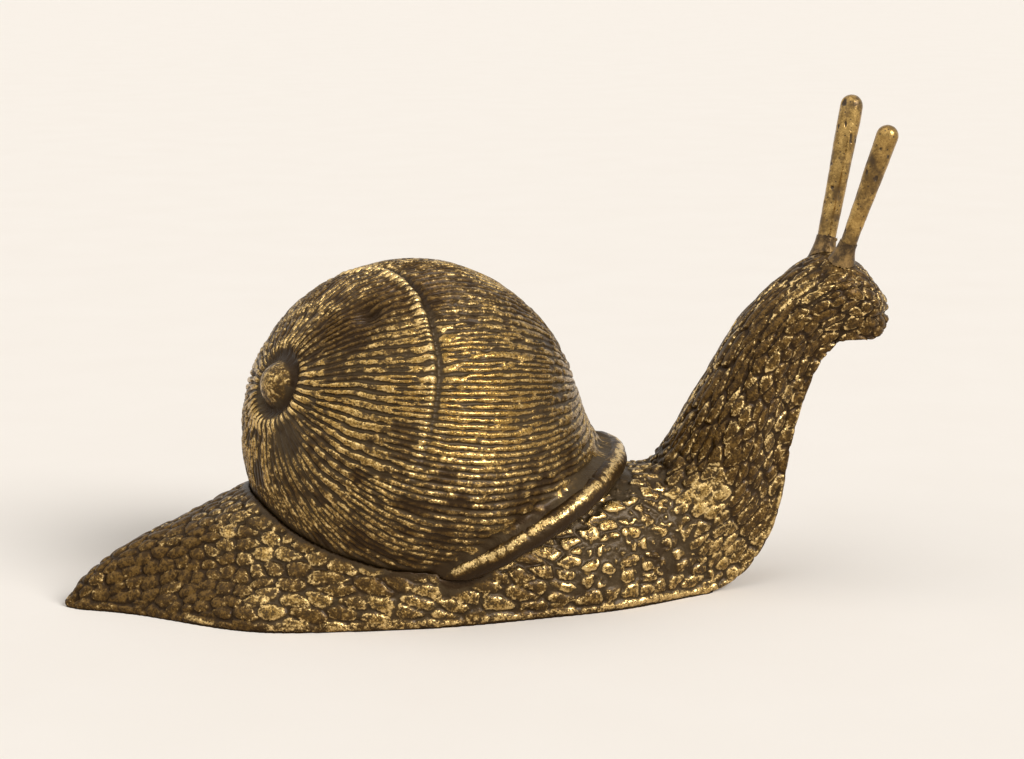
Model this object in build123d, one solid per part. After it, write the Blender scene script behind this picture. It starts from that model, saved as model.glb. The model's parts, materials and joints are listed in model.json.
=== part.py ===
"""Cast bronze snail ornament: a hollow body, a hollow coiled shell, and two tentacles brazed into the head.

The snail creeps along +X and stands on Z = 0. Its right side, which carries the apex of the shell, is
towards -Y. The shell drops into a pocket in the back and is drawn down on a flat seat by one screw from
inside the hollow foot. The tentacles sit in drilled sockets, with a collar of filler round each root.
Lengths are in millimetres and angles in degrees.
"""

import math
import os
from dataclasses import dataclass

from build123d import *
from build123d.topology import SkipClean

# Body casting: lengths run from the shell's centre back to the tail and forward to the lifted sole
TAIL_LENGTH = 87.3
FOREFOOT_LENGTH = 77.7
FOOT_HALF_WIDTH = 32.7
BACK_HEIGHT = 31.0
NECK_REACH = 45.0
NECK_RISE = 86.0
NECK_HALF_WIDTH = 15.5
CASTING_WALL = 4.0

# Low upright skirt along the edge of the sole
SKIRT_HEIGHT = 2.6
SKIRT_FLARE = 1.01

# Ball of the shell and the direction of its apex
SHELL_RADIUS = 42.7
SHELL_WALL = 4.0
APEX_TURN = 24.0
APEX_TILT = 25.0

# Suture: a spiral groove with a raised cord on its apex side
SUTURE_START = 13.5
SUTURE_PITCH = 23.0
SUTURE_TURNS = 2.15
SUTURE_PHASE = 30.0
SUTURE_DEPTH = 1.5
SUTURE_HALF_WIDTH = 1.7
MOAT_HALF_WIDTH = 3.0
CORD_START = 0.6
CORD_HALF_WIDTH = 2.0
CORD_RISE = 0.9
CORD_ROOT = 1.6

# Main growth ribs, parted by shallow grooves: planes through the apex and a point past the ball's front
RIB_COUNT = 14
RIB_START = 17
RIB_GROOVE_DEPTH = 0.8
RIB_GROOVE_HALF_WIDTH = 1.6
RIB_POLE_FORWARD = 55.7
RIB_POLE_LEFT = 4.0
RIB_POLE_LIFT = 7.6

# Nub at the apex
NUB_RADIUS = 5.6
NUB_RISE = 2.2

# Rolled lip round the mouth of the shell, and the flare that runs out to it
LIP_RADIUS = 34.0
LIP_BEAD = 3.4
LIP_TILT = 27.0
LIP_FORWARD = 20.7
LIP_LIFT = 8.0
FLARE_HEIGHT = 18.0
FLARE_STEP = 1.2

# Seat of the shell in the body's back
SEAT_Z = 12.0
SEAT_MARGIN = 2.7
SEAT_FLOOR = 5.0
SEAT_GAP = 0.25

# Cross-bridge inside the shell, with the screw and washer that hold it
BRIDGE_WIDTH = 14.0
BRIDGE_HEIGHT = 9.0
BRIDGE_LIFT = 1.0
SCREW_RADIUS = 3.0
SCREW_REACH = 14.0
SCREW_HEAD_RADIUS = 5.0
SCREW_HEAD_HEIGHT = 3.6
SCREW_SLOT_WIDTH = 1.2
SCREW_SLOT_DEPTH = 1.5
SCREW_FIT = 0.05
SCREW_HOLE_FIT = 0.4
WASHER_RADIUS = 7.0
WASHER_THICKNESS = 1.2

# Tentacles, placed from the brow, the highest station of the head
SOCKET_DEPTH = 5.5
SOCKET_SPREAD = 3.8
TENTACLE_SPREAD = 7.2
RIGHT_SOCKET_FORWARD = 3.5
RIGHT_TENTACLE_LEAN = 10.1
RIGHT_TENTACLE_RISE = 36.3
RIGHT_ROOT_RADIUS = 2.15
RIGHT_TIP_RADIUS = 2.85
LEFT_SOCKET_FORWARD = 1.4
LEFT_TENTACLE_LEAN = 9.4
LEFT_TENTACLE_RISE = 42.1
LEFT_ROOT_RADIUS = 2.5
LEFT_TIP_RADIUS = 3.0
SOCKET_FIT = 0.05

# Collar of filler at each root, in heights above the socket's bottom
BRAZE_RADIUS = 4.3
BRAZE_FOOT = 2.0
BRAZE_SHOULDER = 2.8
BRAZE_TOP = 9.9
BRAZE_SKIN = 0.2

# How far forms run past the ground so that the cut there is clean
SOLE_DROP = 1.5
CORE_DROP = 3.0


@dataclass
class Station:
    """One cross-section of the body, from a point on its sole to a point on its crown.

    Points and widths are shares of the named sizes of the foot or the neck. The sole of a grounded
    station is open underneath.
    """

    sole: tuple
    crown: tuple
    sole_width: float
    waist_width: float
    grounded: bool = False


# Lengths are shares of TAIL_LENGTH where negative and of FOREFOOT_LENGTH where positive, heights are
# shares of BACK_HEIGHT and widths of FOOT_HALF_WIDTH
FOOT_STATIONS = [
    Station((-0.996, 0), (-1.000, 0.10), 0.06, 0.05),
    Station((-0.909, 0), (-0.909, 0.33), 0.18, 0.14),
    Station((-0.805, 0), (-0.805, 0.52), 0.32, 0.24),
    Station((-0.656, 0), (-0.656, 0.71), 0.61, 0.44),
    Station((-0.473, 0), (-0.473, 0.94), 0.91, 0.68),
    Station((-0.255, 0), (-0.255, 1.06), 1.00, 0.92),
    Station((0.074, 0), (0.074, 1.00), 1.00, 0.96),
    Station((0.420, 0), (0.420, 1.00), 0.86, 0.84),
]

# Lengths are shares of NECK_REACH past the end of the foot, heights of NECK_RISE, widths of
# NECK_HALF_WIDTH
NECK_STATIONS = [
    Station((-0.487, 0.000), (-0.444, 0.370), 1.41, 1.35, grounded=True),
    Station((-0.067, 0.000), (-0.356, 0.385), 0.86, 1.10),
    Station((0.089, 0.029), (-0.322, 0.409), 0.70, 1.06),
    Station((0.300, 0.174), (-0.256, 0.453), 0.64, 1.03),
    Station((0.382, 0.349), (-0.149, 0.549), 0.60, 1.00),
    Station((0.451, 0.517), (-0.009, 0.670), 0.57, 0.93),
    Station((0.589, 0.686), (0.191, 0.828), 0.55, 0.85),
    Station((0.700, 0.733), (0.396, 0.925), 0.54, 0.83),
    Station((0.811, 0.733), (0.589, 0.980), 0.54, 0.82),
    Station((0.893, 0.736), (0.756, 0.973), 0.50, 0.72),
    Station((0.956, 0.758), (0.871, 0.928), 0.37, 0.52),
    Station((1.000, 0.797), (0.968, 0.862), 0.17, 0.24),
]

# The hollow inside the body runs from the third station of the foot to the seventh of the neck
FOOT_CORE_STATIONS = FOOT_STATIONS[2:]
NECK_CORE_STATIONS = NECK_STATIONS[:7]
BROW = NECK_STATIONS[8]

# Places worked out from the sizes: the box round the body is centred on the origin, and the ball sits
# where its seat circle keeps a margin inside the foot
SHELL_CENTRE_X = (TAIL_LENGTH - FOREFOOT_LENGTH - NECK_REACH) / 2
FOOT_FRONT_X = SHELL_CENTRE_X + FOREFOOT_LENGTH
SEAT_RADIUS = FOOT_HALF_WIDTH - SEAT_MARGIN
SHELL_CENTRE_Z = SEAT_Z + math.sqrt(SHELL_RADIUS**2 - SEAT_RADIUS**2)
SHELL_CENTRE = Vector(SHELL_CENTRE_X, 0, SHELL_CENTRE_Z)
SHELL_AXIS = Vector(-1, 0, 0).rotate(Axis.Z, APEX_TURN).rotate(Axis.Y, APEX_TILT)
SHELL_PLANE = Plane(SHELL_CENTRE, x_dir=Vector(0, 0, 1).cross(SHELL_AXIS), z_dir=SHELL_AXIS)
LIP_PLACE = Pos(SHELL_CENTRE_X + LIP_FORWARD, 0, SEAT_Z + LIP_LIFT) * Rot(0, -LIP_TILT, 0)

ON_BASE = (Align.CENTER, Align.CENTER, Align.MIN)


def above(form, height):
    """The part of a form above a level plane."""
    return split(form, bisect_by=Plane.XY.offset(height), keep=Keep.TOP)


def upright(bottom, radius, height):
    """Upright cylinder on the screw's line."""
    return Pos(SHELL_CENTRE_X, 0, bottom) * Cylinder(radius, height, align=ON_BASE)


def foot_point(share):
    """Point of the mid-plane from shares of the foot's lengths and of the back's height."""
    length = TAIL_LENGTH if share[0] < 0 else FOREFOOT_LENGTH
    return Vector(SHELL_CENTRE_X + share[0] * length, 0, share[1] * BACK_HEIGHT)


def neck_point(share):
    """Point of the mid-plane from shares of the neck's reach and rise."""
    return Vector(FOOT_FRONT_X + share[0] * NECK_REACH, 0, share[1] * NECK_RISE)


def body_section(sole, crown, sole_width, waist_width):
    """Closed section: a straight sole line, a skirt at its ends, and a smooth curve over the crown."""
    up = crown - sole
    height = up.length
    plane = Plane(origin=sole, x_dir=(0, 1, 0), z_dir=Vector(0, 1, 0).cross(up))
    half = [
        (sole_width, 0),
        (SKIRT_FLARE * sole_width, min(SKIRT_HEIGHT, 0.25 * height)),
        (waist_width, 0.50 * height),
        (0.66 * waist_width, 0.87 * height),
    ]
    points = half + [(0, height)] + [(-x, y) for x, y in reversed(half)]
    outline = Spline(*points) + Line(points[-1], points[0])
    return plane * make_face(outline)


def foot_section(station, inset, drop):
    """Section of the foot drawn in by a wall, with its sole line dropped below the ground."""
    return body_section(
        foot_point(station.sole) - Vector(0, 0, drop),
        foot_point(station.crown) - Vector(0, 0, inset),
        station.sole_width * FOOT_HALF_WIDTH - inset,
        station.waist_width * FOOT_HALF_WIDTH - inset,
    )


def neck_section(station, inset, drop):
    """Section of the neck drawn in by a wall all round, or only above where its sole is grounded."""
    sole = neck_point(station.sole)
    crown = neck_point(station.crown)
    step = (crown - sole).normalized() * inset
    return body_section(
        sole - Vector(0, 0, drop) if station.grounded else sole + step,
        crown - step,
        station.sole_width * NECK_HALF_WIDTH - inset,
        station.waist_width * NECK_HALF_WIDTH - inset,
    )


def body_outside():
    """Outer form of the body, cut flat where it stands."""
    faces = [foot_section(station, 0, SOLE_DROP) for station in FOOT_STATIONS]
    faces += [neck_section(station, 0, SOLE_DROP) for station in NECK_STATIONS]
    return above(loft(faces), 0)


def body_core():
    """Hollow inside the body, open at the sole and kept off the shell's pocket by a wall."""
    faces = [foot_section(station, CASTING_WALL, CORE_DROP) for station in FOOT_CORE_STATIONS]
    faces += [neck_section(station, CASTING_WALL, CORE_DROP) for station in NECK_CORE_STATIONS]
    form = loft(faces)
    for guard in shell_envelope(SEAT_GAP + CASTING_WALL):
        form -= above(guard, SEAT_Z - SEAT_FLOOR)
    return form


def body_casting(skin, tentacles):
    """Hollow body with the shell's pocket, the screw's hole and the tentacles' sockets."""
    form = skin
    for pocket in shell_envelope(SEAT_GAP):
        form -= above(pocket, SEAT_Z)
    form -= body_core()
    form -= upright(0, SCREW_RADIUS + SCREW_HOLE_FIT, SEAT_Z + SEAT_FLOOR)
    for tentacle in tentacles:
        form -= tentacle.socket()
    return form


def shell_ball(grow):
    """Ball of the shell, in four sectors about its apex so that each face stays simple."""
    sector = Sphere(SHELL_RADIUS + grow, arc_size3=90, align=None)
    form = sector
    for turn in (90, 180, 270):
        form += Rot(0, 0, turn) * sector
    return SHELL_PLANE * form


def shell_lip(grow):
    """Rolled lip round the mouth of the shell."""
    return LIP_PLACE * Torus(LIP_RADIUS, LIP_BEAD + grow)


def shell_flare(grow):
    """Flank that runs from inside the ball out to the lip."""
    centre = (LIP_PLACE.inverse() * Pos(SHELL_CENTRE)).position
    drop = centre.Z - FLARE_HEIGHT
    top_radius = math.sqrt(SHELL_RADIUS**2 - drop**2) - FLARE_STEP + grow
    low = Circle(LIP_RADIUS - FLARE_STEP + grow)
    high = Pos(centre.X, centre.Y, FLARE_HEIGHT) * Circle(top_radius)
    return LIP_PLACE * loft([low, high], ruled=True)


def shell_envelope(grow):
    """Forms that make up the plain outside of the shell, grown by a gap or a wall."""
    return [shell_ball(grow), shell_flare(grow), shell_lip(grow)]


def rib_groove(turn):
    """Vee groove on the ball along a half-plane through the ribs' line, at a turn round that line."""
    apex = SHELL_CENTRE + SHELL_AXIS * SHELL_RADIUS
    pole = SHELL_CENTRE + Vector(RIB_POLE_FORWARD, RIB_POLE_LEFT, RIB_POLE_LIFT)
    line = (pole - apex).normalized()
    rise = line.cross(Vector(0, 1, 0)).normalized().rotate(Axis((0, 0, 0), line), turn)
    normal = line.cross(rise)
    offset = SHELL_CENTRE - apex - line * (SHELL_CENTRE - apex).dot(line)
    radius = math.sqrt(SHELL_RADIUS**2 - offset.dot(normal) ** 2)
    start = math.asin((RIB_START - offset.dot(rise)) / radius)
    reach = line * math.cos(start) + rise * math.sin(start)
    out = (reach * radius - normal * offset.dot(normal)) * (1 / SHELL_RADIUS)
    side = out.cross(normal.cross(reach)) * (RIB_GROOVE_HALF_WIDTH * (1 + 1 / RIB_GROOVE_DEPTH))
    tip = SHELL_CENTRE + out * (SHELL_RADIUS - RIB_GROOVE_DEPTH)
    rim = SHELL_CENTRE + out * (SHELL_RADIUS + 1)
    vee = make_face(Polyline(tip, rim - side, rim + side, close=True))
    return revolve(vee, Axis(SHELL_CENTRE, normal), 180 - 2 * math.degrees(start))


def rib_grooves():
    """All the grooves between the main ribs."""
    return [rib_groove((index + 0.5) * 360 / RIB_COUNT) for index in range(RIB_COUNT)]


def spiral_frame(turn):
    """Point of the suture on the ball after so many turns, with its outward and downhill directions."""
    tilt = math.radians(SUTURE_START + SUTURE_PITCH * turn)
    swing = math.radians(SUTURE_PHASE - 360 * turn)
    east = Vector(math.cos(swing), math.sin(swing), 0)
    out = east * math.sin(tilt) + Vector(0, 0, math.cos(tilt))
    down = east * math.cos(tilt) - Vector(0, 0, math.sin(tilt))
    return out * SHELL_RADIUS, out, down


def fade(turn, first):
    """Share of the suture's full size, which grows from its first turn and dies away at its end."""
    share = max(0.0, min(1.0, (turn - first) / 0.2, (SUTURE_TURNS - turn) / 0.25))
    return share * share * (3 - 2 * share)


def groove_section(turn):
    """Vee of the suture groove, wide round the nub and narrower further out."""
    centre, out, down = spiral_frame(turn)
    inner = max(0.0, 1 - turn / 0.8)
    half = SUTURE_HALF_WIDTH + (MOAT_HALF_WIDTH - SUTURE_HALF_WIDTH) * inner
    depth = SUTURE_DEPTH * (0.25 + 0.75 * fade(turn, 0.0))
    rim = half * (1 + 1 / depth)
    corners = [centre + out - down * rim, centre + out + down * rim, centre - out * depth]
    return make_face(Polyline(*corners, close=True))


def cord_section(turn):
    """Rounded cord beside the groove, rooted inside the ball."""
    centre, out, down = spiral_frame(turn)
    share = fade(turn, CORD_START)
    rise = CORD_RISE * share - 0.5 * (1 - share)
    crest = centre - down * (SUTURE_HALF_WIDTH + 0.6 * CORD_HALF_WIDTH)
    corners = [
        crest - down * CORD_HALF_WIDTH - out * CORD_ROOT,
        crest - down * 0.55 * CORD_HALF_WIDTH + out * 0.75 * rise,
        crest + out * rise,
        crest + down * 0.55 * CORD_HALF_WIDTH + out * 0.75 * rise,
        crest + down * CORD_HALF_WIDTH - out * CORD_ROOT,
    ]
    return make_face(Polyline(*corners, close=True))


def spiral(section, first, steps=8):
    """Lofts of a section along the suture, each about half a turn long."""
    count = math.ceil((SUTURE_TURNS - first) / 0.5)
    span = (SUTURE_TURNS - first) / count
    pieces = []
    for index in range(count):
        start = first + span * index
        faces = [section(start + span * step / steps) for step in range(steps + 1)]
        pieces.append(SHELL_PLANE * loft(faces))
    return pieces


def shell_outside():
    """Outer form of the shell with its suture, nub, flare and lip, before it is cut at the seat."""
    form = shell_ball(0) - rib_grooves()
    for piece in spiral(groove_section, 0.0):
        form -= piece
    for piece in spiral(cord_section, CORD_START):
        form += piece
    nub = Pos(0, 0, SHELL_RADIUS + NUB_RISE - NUB_RADIUS) * Sphere(NUB_RADIUS)
    form += SHELL_PLANE * nub
    return form + shell_flare(0) + shell_lip(0)


def shell_casting():
    """Hollow shell with a cross-bridge bored for the screw."""
    form = above(shell_outside(), SEAT_Z) - shell_ball(-SHELL_WALL)
    bar = Box(2 * SHELL_RADIUS, BRIDGE_WIDTH, BRIDGE_HEIGHT, align=ON_BASE)
    bridge = Pos(SHELL_CENTRE_X, 0, SEAT_Z + BRIDGE_LIFT) * bar
    form += bridge & shell_ball(-0.5 * SHELL_WALL)
    return form - upright(SEAT_Z, SCREW_RADIUS + SCREW_FIT, 2 * BRIDGE_HEIGHT)


def shell_washer():
    """Plain washer under the screw's head."""
    bottom = SEAT_Z - SEAT_FLOOR - WASHER_THICKNESS
    hole = upright(bottom, SCREW_RADIUS + SCREW_HOLE_FIT, WASHER_THICKNESS)
    return upright(bottom, WASHER_RADIUS, WASHER_THICKNESS) - hole


def shell_screw():
    """Slotted screw that draws the shell down on its seat."""
    under = SEAT_Z - SEAT_FLOOR - WASHER_THICKNESS
    bottom = under - SCREW_HEAD_HEIGHT
    form = upright(bottom, SCREW_HEAD_RADIUS, SCREW_HEAD_HEIGHT)
    form += upright(under, SCREW_RADIUS, SCREW_REACH)
    slot = Box(3 * SCREW_HEAD_RADIUS, SCREW_SLOT_WIDTH, 2 * SCREW_SLOT_DEPTH)
    return form - Pos(SHELL_CENTRE_X, 0, bottom) * slot


@dataclass
class Tentacle:
    """A rod with a rounded tip, its socket in the head, and the filler round its root."""

    side: int
    socket_forward: float
    lean: float
    rise: float
    root_radius: float
    tip_radius: float

    def place(self):
        """Plane at the bottom of the socket, looking along the rod."""
        forward = Vector(self.socket_forward, self.side * SOCKET_SPREAD, -SOCKET_DEPTH)
        aim = Vector(self.lean, self.side * TENTACLE_SPREAD, self.rise)
        return Plane(origin=neck_point(BROW.crown) + forward, z_dir=aim)

    def length(self):
        """Length from the socket's bottom to the centre of the rounded tip."""
        return Vector(self.lean, TENTACLE_SPREAD, self.rise).length

    def rod(self):
        """The rod, straight at the root and swelling towards its round tip."""
        end = self.length()
        root = (self.root_radius, BRAZE_TOP)
        edge = Polyline((0, end + self.tip_radius), (0, 0), (self.root_radius, 0), root)
        flank = Spline(root, (self.tip_radius, end), tangents=[(0, 1), (0, 1)])
        cap = CenterArc((0, end), self.tip_radius, 0, 90)
        return self.place() * revolve(Plane.XZ * make_face(edge + flank + cap), Axis.Z)

    def socket(self):
        """Drilled hole for the root."""
        hole = Cylinder(self.root_radius + SOCKET_FIT, 2 * BRAZE_TOP, align=ON_BASE)
        return self.place() * hole

    def braze(self, skin):
        """Collar of filler in the corner between rod and head, cut to fit both."""
        top = (self.root_radius + BRAZE_SKIN, BRAZE_TOP)
        shoulder = (BRAZE_RADIUS, BRAZE_SHOULDER)
        flank = Spline(shoulder, top, tangents=[(-0.35, 1), (0, 1)])
        edge = Polyline(top, (0, BRAZE_TOP), (0, BRAZE_FOOT), (BRAZE_RADIUS, BRAZE_FOOT), shoulder)
        collar = self.place() * revolve(Plane.XZ * make_face(flank + edge), Axis.Z)
        bore = self.place() * Cylinder(self.root_radius, 4 * BRAZE_TOP)
        return collar - bore - skin


RIGHT_TENTACLE = Tentacle(
    side=-1,
    socket_forward=RIGHT_SOCKET_FORWARD,
    lean=RIGHT_TENTACLE_LEAN,
    rise=RIGHT_TENTACLE_RISE,
    root_radius=RIGHT_ROOT_RADIUS,
    tip_radius=RIGHT_TIP_RADIUS,
)
LEFT_TENTACLE = Tentacle(
    side=1,
    socket_forward=LEFT_SOCKET_FORWARD,
    lean=LEFT_TENTACLE_LEAN,
    rise=LEFT_TENTACLE_RISE,
    root_radius=LEFT_ROOT_RADIUS,
    tip_radius=LEFT_TIP_RADIUS,
)


def build():
    """All the pieces by node name."""
    skin = body_outside()
    return {
        "body_casting": body_casting(skin, [RIGHT_TENTACLE, LEFT_TENTACLE]),
        "shell_casting": shell_casting(),
        "shell_screw": shell_screw(),
        "shell_washer": shell_washer(),
        "right_tentacle": RIGHT_TENTACLE.rod(),
        "left_tentacle": LEFT_TENTACLE.rod(),
        "right_tentacle_braze": RIGHT_TENTACLE.braze(skin),
        "left_tentacle_braze": LEFT_TENTACLE.braze(skin),
    }


if __name__ == "__main__":
    os.makedirs("parts", exist_ok=True)
    # Merging like faces would join the ball's sectors again, so it is left out
    with SkipClean():
        pieces = build()
    for name, piece in pieces.items():
        export_step(piece, f"parts/{name}.step")
        print(name, round(piece.volume, 1), piece.is_valid, len(piece.solids()))
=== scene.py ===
"""Bronze snail ornament: carves the skin and the shell's ribs, patinates them, and sets up a plain studio."""

from __future__ import annotations

import json
import logging
import math
from dataclasses import dataclass
from enum import Enum

import bmesh
import bpy
import numpy as np
from mathutils import Matrix, Vector
from mathutils.bvhtree import BVHTree
from mathutils.kdtree import KDTree

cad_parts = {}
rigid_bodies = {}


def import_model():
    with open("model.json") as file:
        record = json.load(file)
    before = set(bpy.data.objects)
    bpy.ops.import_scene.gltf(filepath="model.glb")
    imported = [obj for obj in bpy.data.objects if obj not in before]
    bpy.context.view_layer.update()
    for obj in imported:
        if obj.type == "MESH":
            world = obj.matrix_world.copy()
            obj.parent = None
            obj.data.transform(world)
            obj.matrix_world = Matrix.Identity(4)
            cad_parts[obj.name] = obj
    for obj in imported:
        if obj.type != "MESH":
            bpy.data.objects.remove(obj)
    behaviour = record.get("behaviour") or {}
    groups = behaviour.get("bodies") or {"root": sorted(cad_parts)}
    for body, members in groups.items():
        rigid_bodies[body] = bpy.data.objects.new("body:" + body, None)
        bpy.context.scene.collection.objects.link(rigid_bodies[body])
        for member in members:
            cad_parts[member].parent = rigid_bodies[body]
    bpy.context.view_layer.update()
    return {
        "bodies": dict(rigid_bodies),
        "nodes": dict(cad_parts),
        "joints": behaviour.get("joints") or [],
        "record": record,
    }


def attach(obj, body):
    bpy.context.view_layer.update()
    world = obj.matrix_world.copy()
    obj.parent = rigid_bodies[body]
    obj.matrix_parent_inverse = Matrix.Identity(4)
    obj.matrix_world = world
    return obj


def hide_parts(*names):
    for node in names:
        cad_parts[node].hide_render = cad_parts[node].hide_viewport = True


LOG = logging.getLogger("snail")
MM = 0.001
BODY = "root"
MERGE = 1e-6
MOST_SPOTS = 60000
ABOVE_GROUND = (-1e3, -1e3, 0.0)
SIDES = ("right", "left")

Colour = tuple[float, float, float]
Triple = tuple[float, float, float]


class Slot(Enum):
    """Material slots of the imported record."""

    BODY = "body_bronze"
    SHELL = "shell_bronze"
    FEELER = "feeler_bronze"
    BRAZE = "braze"
    STEEL = "screw_steel"


def ramp(values: np.ndarray, low: float | np.ndarray, high: float | np.ndarray) -> np.ndarray:
    """Smooth step from 0 at low to 1 at high.

    Args:
        values: Numbers to map.
        low: Value that gives 0.
        high: Value that gives 1.

    Returns:
        The mapped numbers.
    """
    share = np.clip((values - low) / (high - low), 0.0, 1.0)
    return share * share * (3.0 - 2.0 * share)


def soft_union(first: np.ndarray, second: np.ndarray, blend: float) -> np.ndarray:
    """Smallest of two distances, rounded where they are nearly equal.

    Args:
        first: Distances to one form.
        second: Distances to another form.
        blend: Width of the rounded corner.

    Returns:
        Distances to the joined form.
    """
    near = np.clip(blend - np.abs(first - second), 0.0, None) / blend
    return np.minimum(first, second) - 0.25 * blend * near * near


@dataclass(frozen=True)
class Grain:
    """Seeded noise over points in millimetres."""

    seed: int

    def pick(self, cells: np.ndarray, salt: int = 0) -> np.ndarray:
        """Draw one number for each lattice cell.

        Args:
            cells: Whole-number coordinates, one row of three for each cell.
            salt: Makes separate draws for the same cell.

        Returns:
            Numbers from 0 to 1.
        """
        key = cells.astype(np.int64).view(np.uint64)
        mixed = key[..., 0] * np.uint64(0x9E3779B97F4A7C15)
        mixed = (mixed ^ (mixed >> np.uint64(31))) + key[..., 1] * np.uint64(0xC2B2AE3D27D4EB4F)
        mixed = (mixed ^ (mixed >> np.uint64(29))) + key[..., 2] * np.uint64(0x165667B19E3779F9)
        mixed = (mixed + np.uint64(self.seed * 7919 + salt * 104729)) * np.uint64(0xBF58476D1CE4E5B9)
        mixed = (mixed ^ (mixed >> np.uint64(30))) * np.uint64(0x94D049BB133111EB)
        mixed ^= mixed >> np.uint64(32)
        return (mixed & np.uint64(0xFFFFFF)).astype(float) / float(0x1000000)

    def waves(self, points: np.ndarray, size: float | Triple) -> np.ndarray:
        """Smooth noise.

        Args:
            points: Points in millimetres.
            size: Size of a lump, one number or one for each axis.

        Returns:
            Numbers from -1 to 1.
        """
        scaled = points / np.asarray(size, dtype=float)
        base = np.floor(scaled)
        part = scaled - base
        part = part * part * (3.0 - 2.0 * part)
        total = np.zeros(len(points))
        for corner in np.ndindex(2, 2, 2):
            offset = np.array(corner)
            weight = np.prod(np.where(offset == 1, part, 1.0 - part), axis=1)
            total += weight * self.pick(base + offset)
        return 2.0 * total - 1.0

    def layers(self, points: np.ndarray, size: float, count: int = 3) -> np.ndarray:
        """Noise with finer noise on top.

        Args:
            points: Points in millimetres.
            size: Size of the largest lumps.
            count: Number of layers.

        Returns:
            Numbers that stay near -1 to 1.
        """
        total = np.zeros(len(points))
        for step in range(count):
            layer = Grain(self.seed + 17 * step)
            total += 0.5**step * layer.waves(points, size * 0.5**step)
        return total


def bell(values: np.ndarray, width: float) -> np.ndarray:
    """Round hump that is 1 at 0 and fades over a width."""
    return np.exp(-((values / width) ** 2))


def tree_of(spots: list[np.ndarray] | list[Vector]) -> KDTree:
    """Tree of points, numbered in their order."""
    tree = KDTree(len(spots))
    for index, spot in enumerate(spots):
        tree.insert(spot, index)
    tree.balance()
    return tree


def dent(points: np.ndarray, place: Triple, width: float) -> np.ndarray:
    """Round spot that is 1 at a place and fades over a width."""
    return np.exp(-np.sum((points - np.array(place)) ** 2, axis=1) / width**2)


@dataclass(frozen=True)
class Plates:
    """Cells round seeds that are scattered evenly over a surface, in units of a cell."""

    seeds: np.ndarray
    tree: KDTree
    corner: float = 15.0

    @classmethod
    def scattered(cls, spots: np.ndarray, allowed: np.ndarray, spacing: float, seed: int) -> Plates:
        """Choose seeds among spots so that no two come closer than a spacing.

        Args:
            spots: Points of the surface in units of a cell.
            allowed: Numbers of the spots that may be seeds.
            spacing: Least distance between two seeds.
            seed: Seed of the random order.

        Returns:
            The cells.
        """
        order = np.random.default_rng(seed).permutation(allowed)[:MOST_SPOTS]
        taken: dict[tuple[int, ...], list[np.ndarray]] = {}
        around = [np.array(step) - 1 for step in np.ndindex(3, 3, 3)]
        seeds: list[np.ndarray] = []
        for spot, cell in zip(spots[order], np.floor(spots[order] / spacing).astype(int)):
            near = (other for step in around for other in taken.get(tuple(cell + step), ()))
            if all(np.sum((spot - other) ** 2) >= spacing**2 for other in near):
                taken.setdefault(tuple(cell), []).append(spot)
                seeds.append(spot)
        return cls(np.array(seeds), tree_of(seeds))

    def border(self, spots: np.ndarray) -> tuple[np.ndarray, np.ndarray]:
        """Where spots lie in their cells.

        Args:
            spots: Points in units of a cell.

        Returns:
            Distance of each spot from its cell's border, and one number from 0 to 1 for its cell.
        """
        near = np.array([[hit[1] for hit in self.tree.find_n(spot, 4)] for spot in spots.tolist()])
        own = self.seeds[near[:, 0]]
        total = np.zeros(len(spots))
        for other in self.seeds[near[:, 1:]].transpose(1, 0, 2):
            across = other - own
            across /= np.linalg.norm(across, axis=1, keepdims=True)
            total += np.exp(-self.corner * np.sum((0.5 * (own + other) - spots) * across, axis=1))
        return -np.log(total) / self.corner, np.random.default_rng(8).random(len(self.seeds))[near[:, 0]]


@dataclass(frozen=True)
class Carving:
    """Mesh whose points are moved in bulk, in millimetres."""

    mesh: bpy.types.Mesh

    def read(self, field: str = "co") -> np.ndarray:
        """Points in millimetres, or unit normals when asked for."""
        flat = np.empty(3 * len(self.mesh.vertices))
        self.mesh.vertices.foreach_get(field, flat)
        return flat.reshape(-1, 3) / (MM if field == "co" else 1.0)

    def write(self, points: np.ndarray) -> None:
        """Put the points back."""
        self.mesh.vertices.foreach_set("co", (points * MM).ravel())
        self.mesh.update()

    def store(self, **fields: np.ndarray) -> None:
        """Keep numbers for each point by name, which the finishes read."""
        for name, values in fields.items():
            layer = self.mesh.attributes.new(name, "FLOAT", "POINT")
            layer.data.foreach_set("value", np.ascontiguousarray(values, dtype=np.float32))

    def smooth(self) -> None:
        """Shade every face smooth."""
        self.mesh.polygons.foreach_set("use_smooth", np.ones(len(self.mesh.polygons), dtype=bool))
        self.mesh.update()


def merged_copy(node: bpy.types.Object) -> bmesh.types.BMesh:
    """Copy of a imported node's mesh with its loose triangles joined.

    Args:
        node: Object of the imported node.

    Returns:
        The copy, in metres.
    """
    copy = bmesh.new()
    copy.from_mesh(node.data)
    bmesh.ops.remove_doubles(copy, verts=copy.verts, dist=MERGE)
    return copy


def mesh_of(shape: bmesh.types.BMesh, name: str) -> bpy.types.Mesh:
    """New mesh from a bmesh, which is freed."""
    mesh = bpy.data.meshes.new(name)
    shape.to_mesh(mesh)
    shape.free()
    return mesh


def piece(name: str, mesh: bpy.types.Mesh, slot: Slot, *nodes: str) -> bpy.types.Object:
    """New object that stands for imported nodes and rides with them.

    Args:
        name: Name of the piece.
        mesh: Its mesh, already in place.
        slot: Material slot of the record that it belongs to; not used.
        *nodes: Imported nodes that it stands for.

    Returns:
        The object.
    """
    made = bpy.data.objects.new(name, mesh)
    bpy.context.scene.collection.objects.link(made)
    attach(made, BODY)
    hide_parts(*nodes)
    LOG.info("%s: %d faces", name, len(mesh.polygons))
    return made


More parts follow.
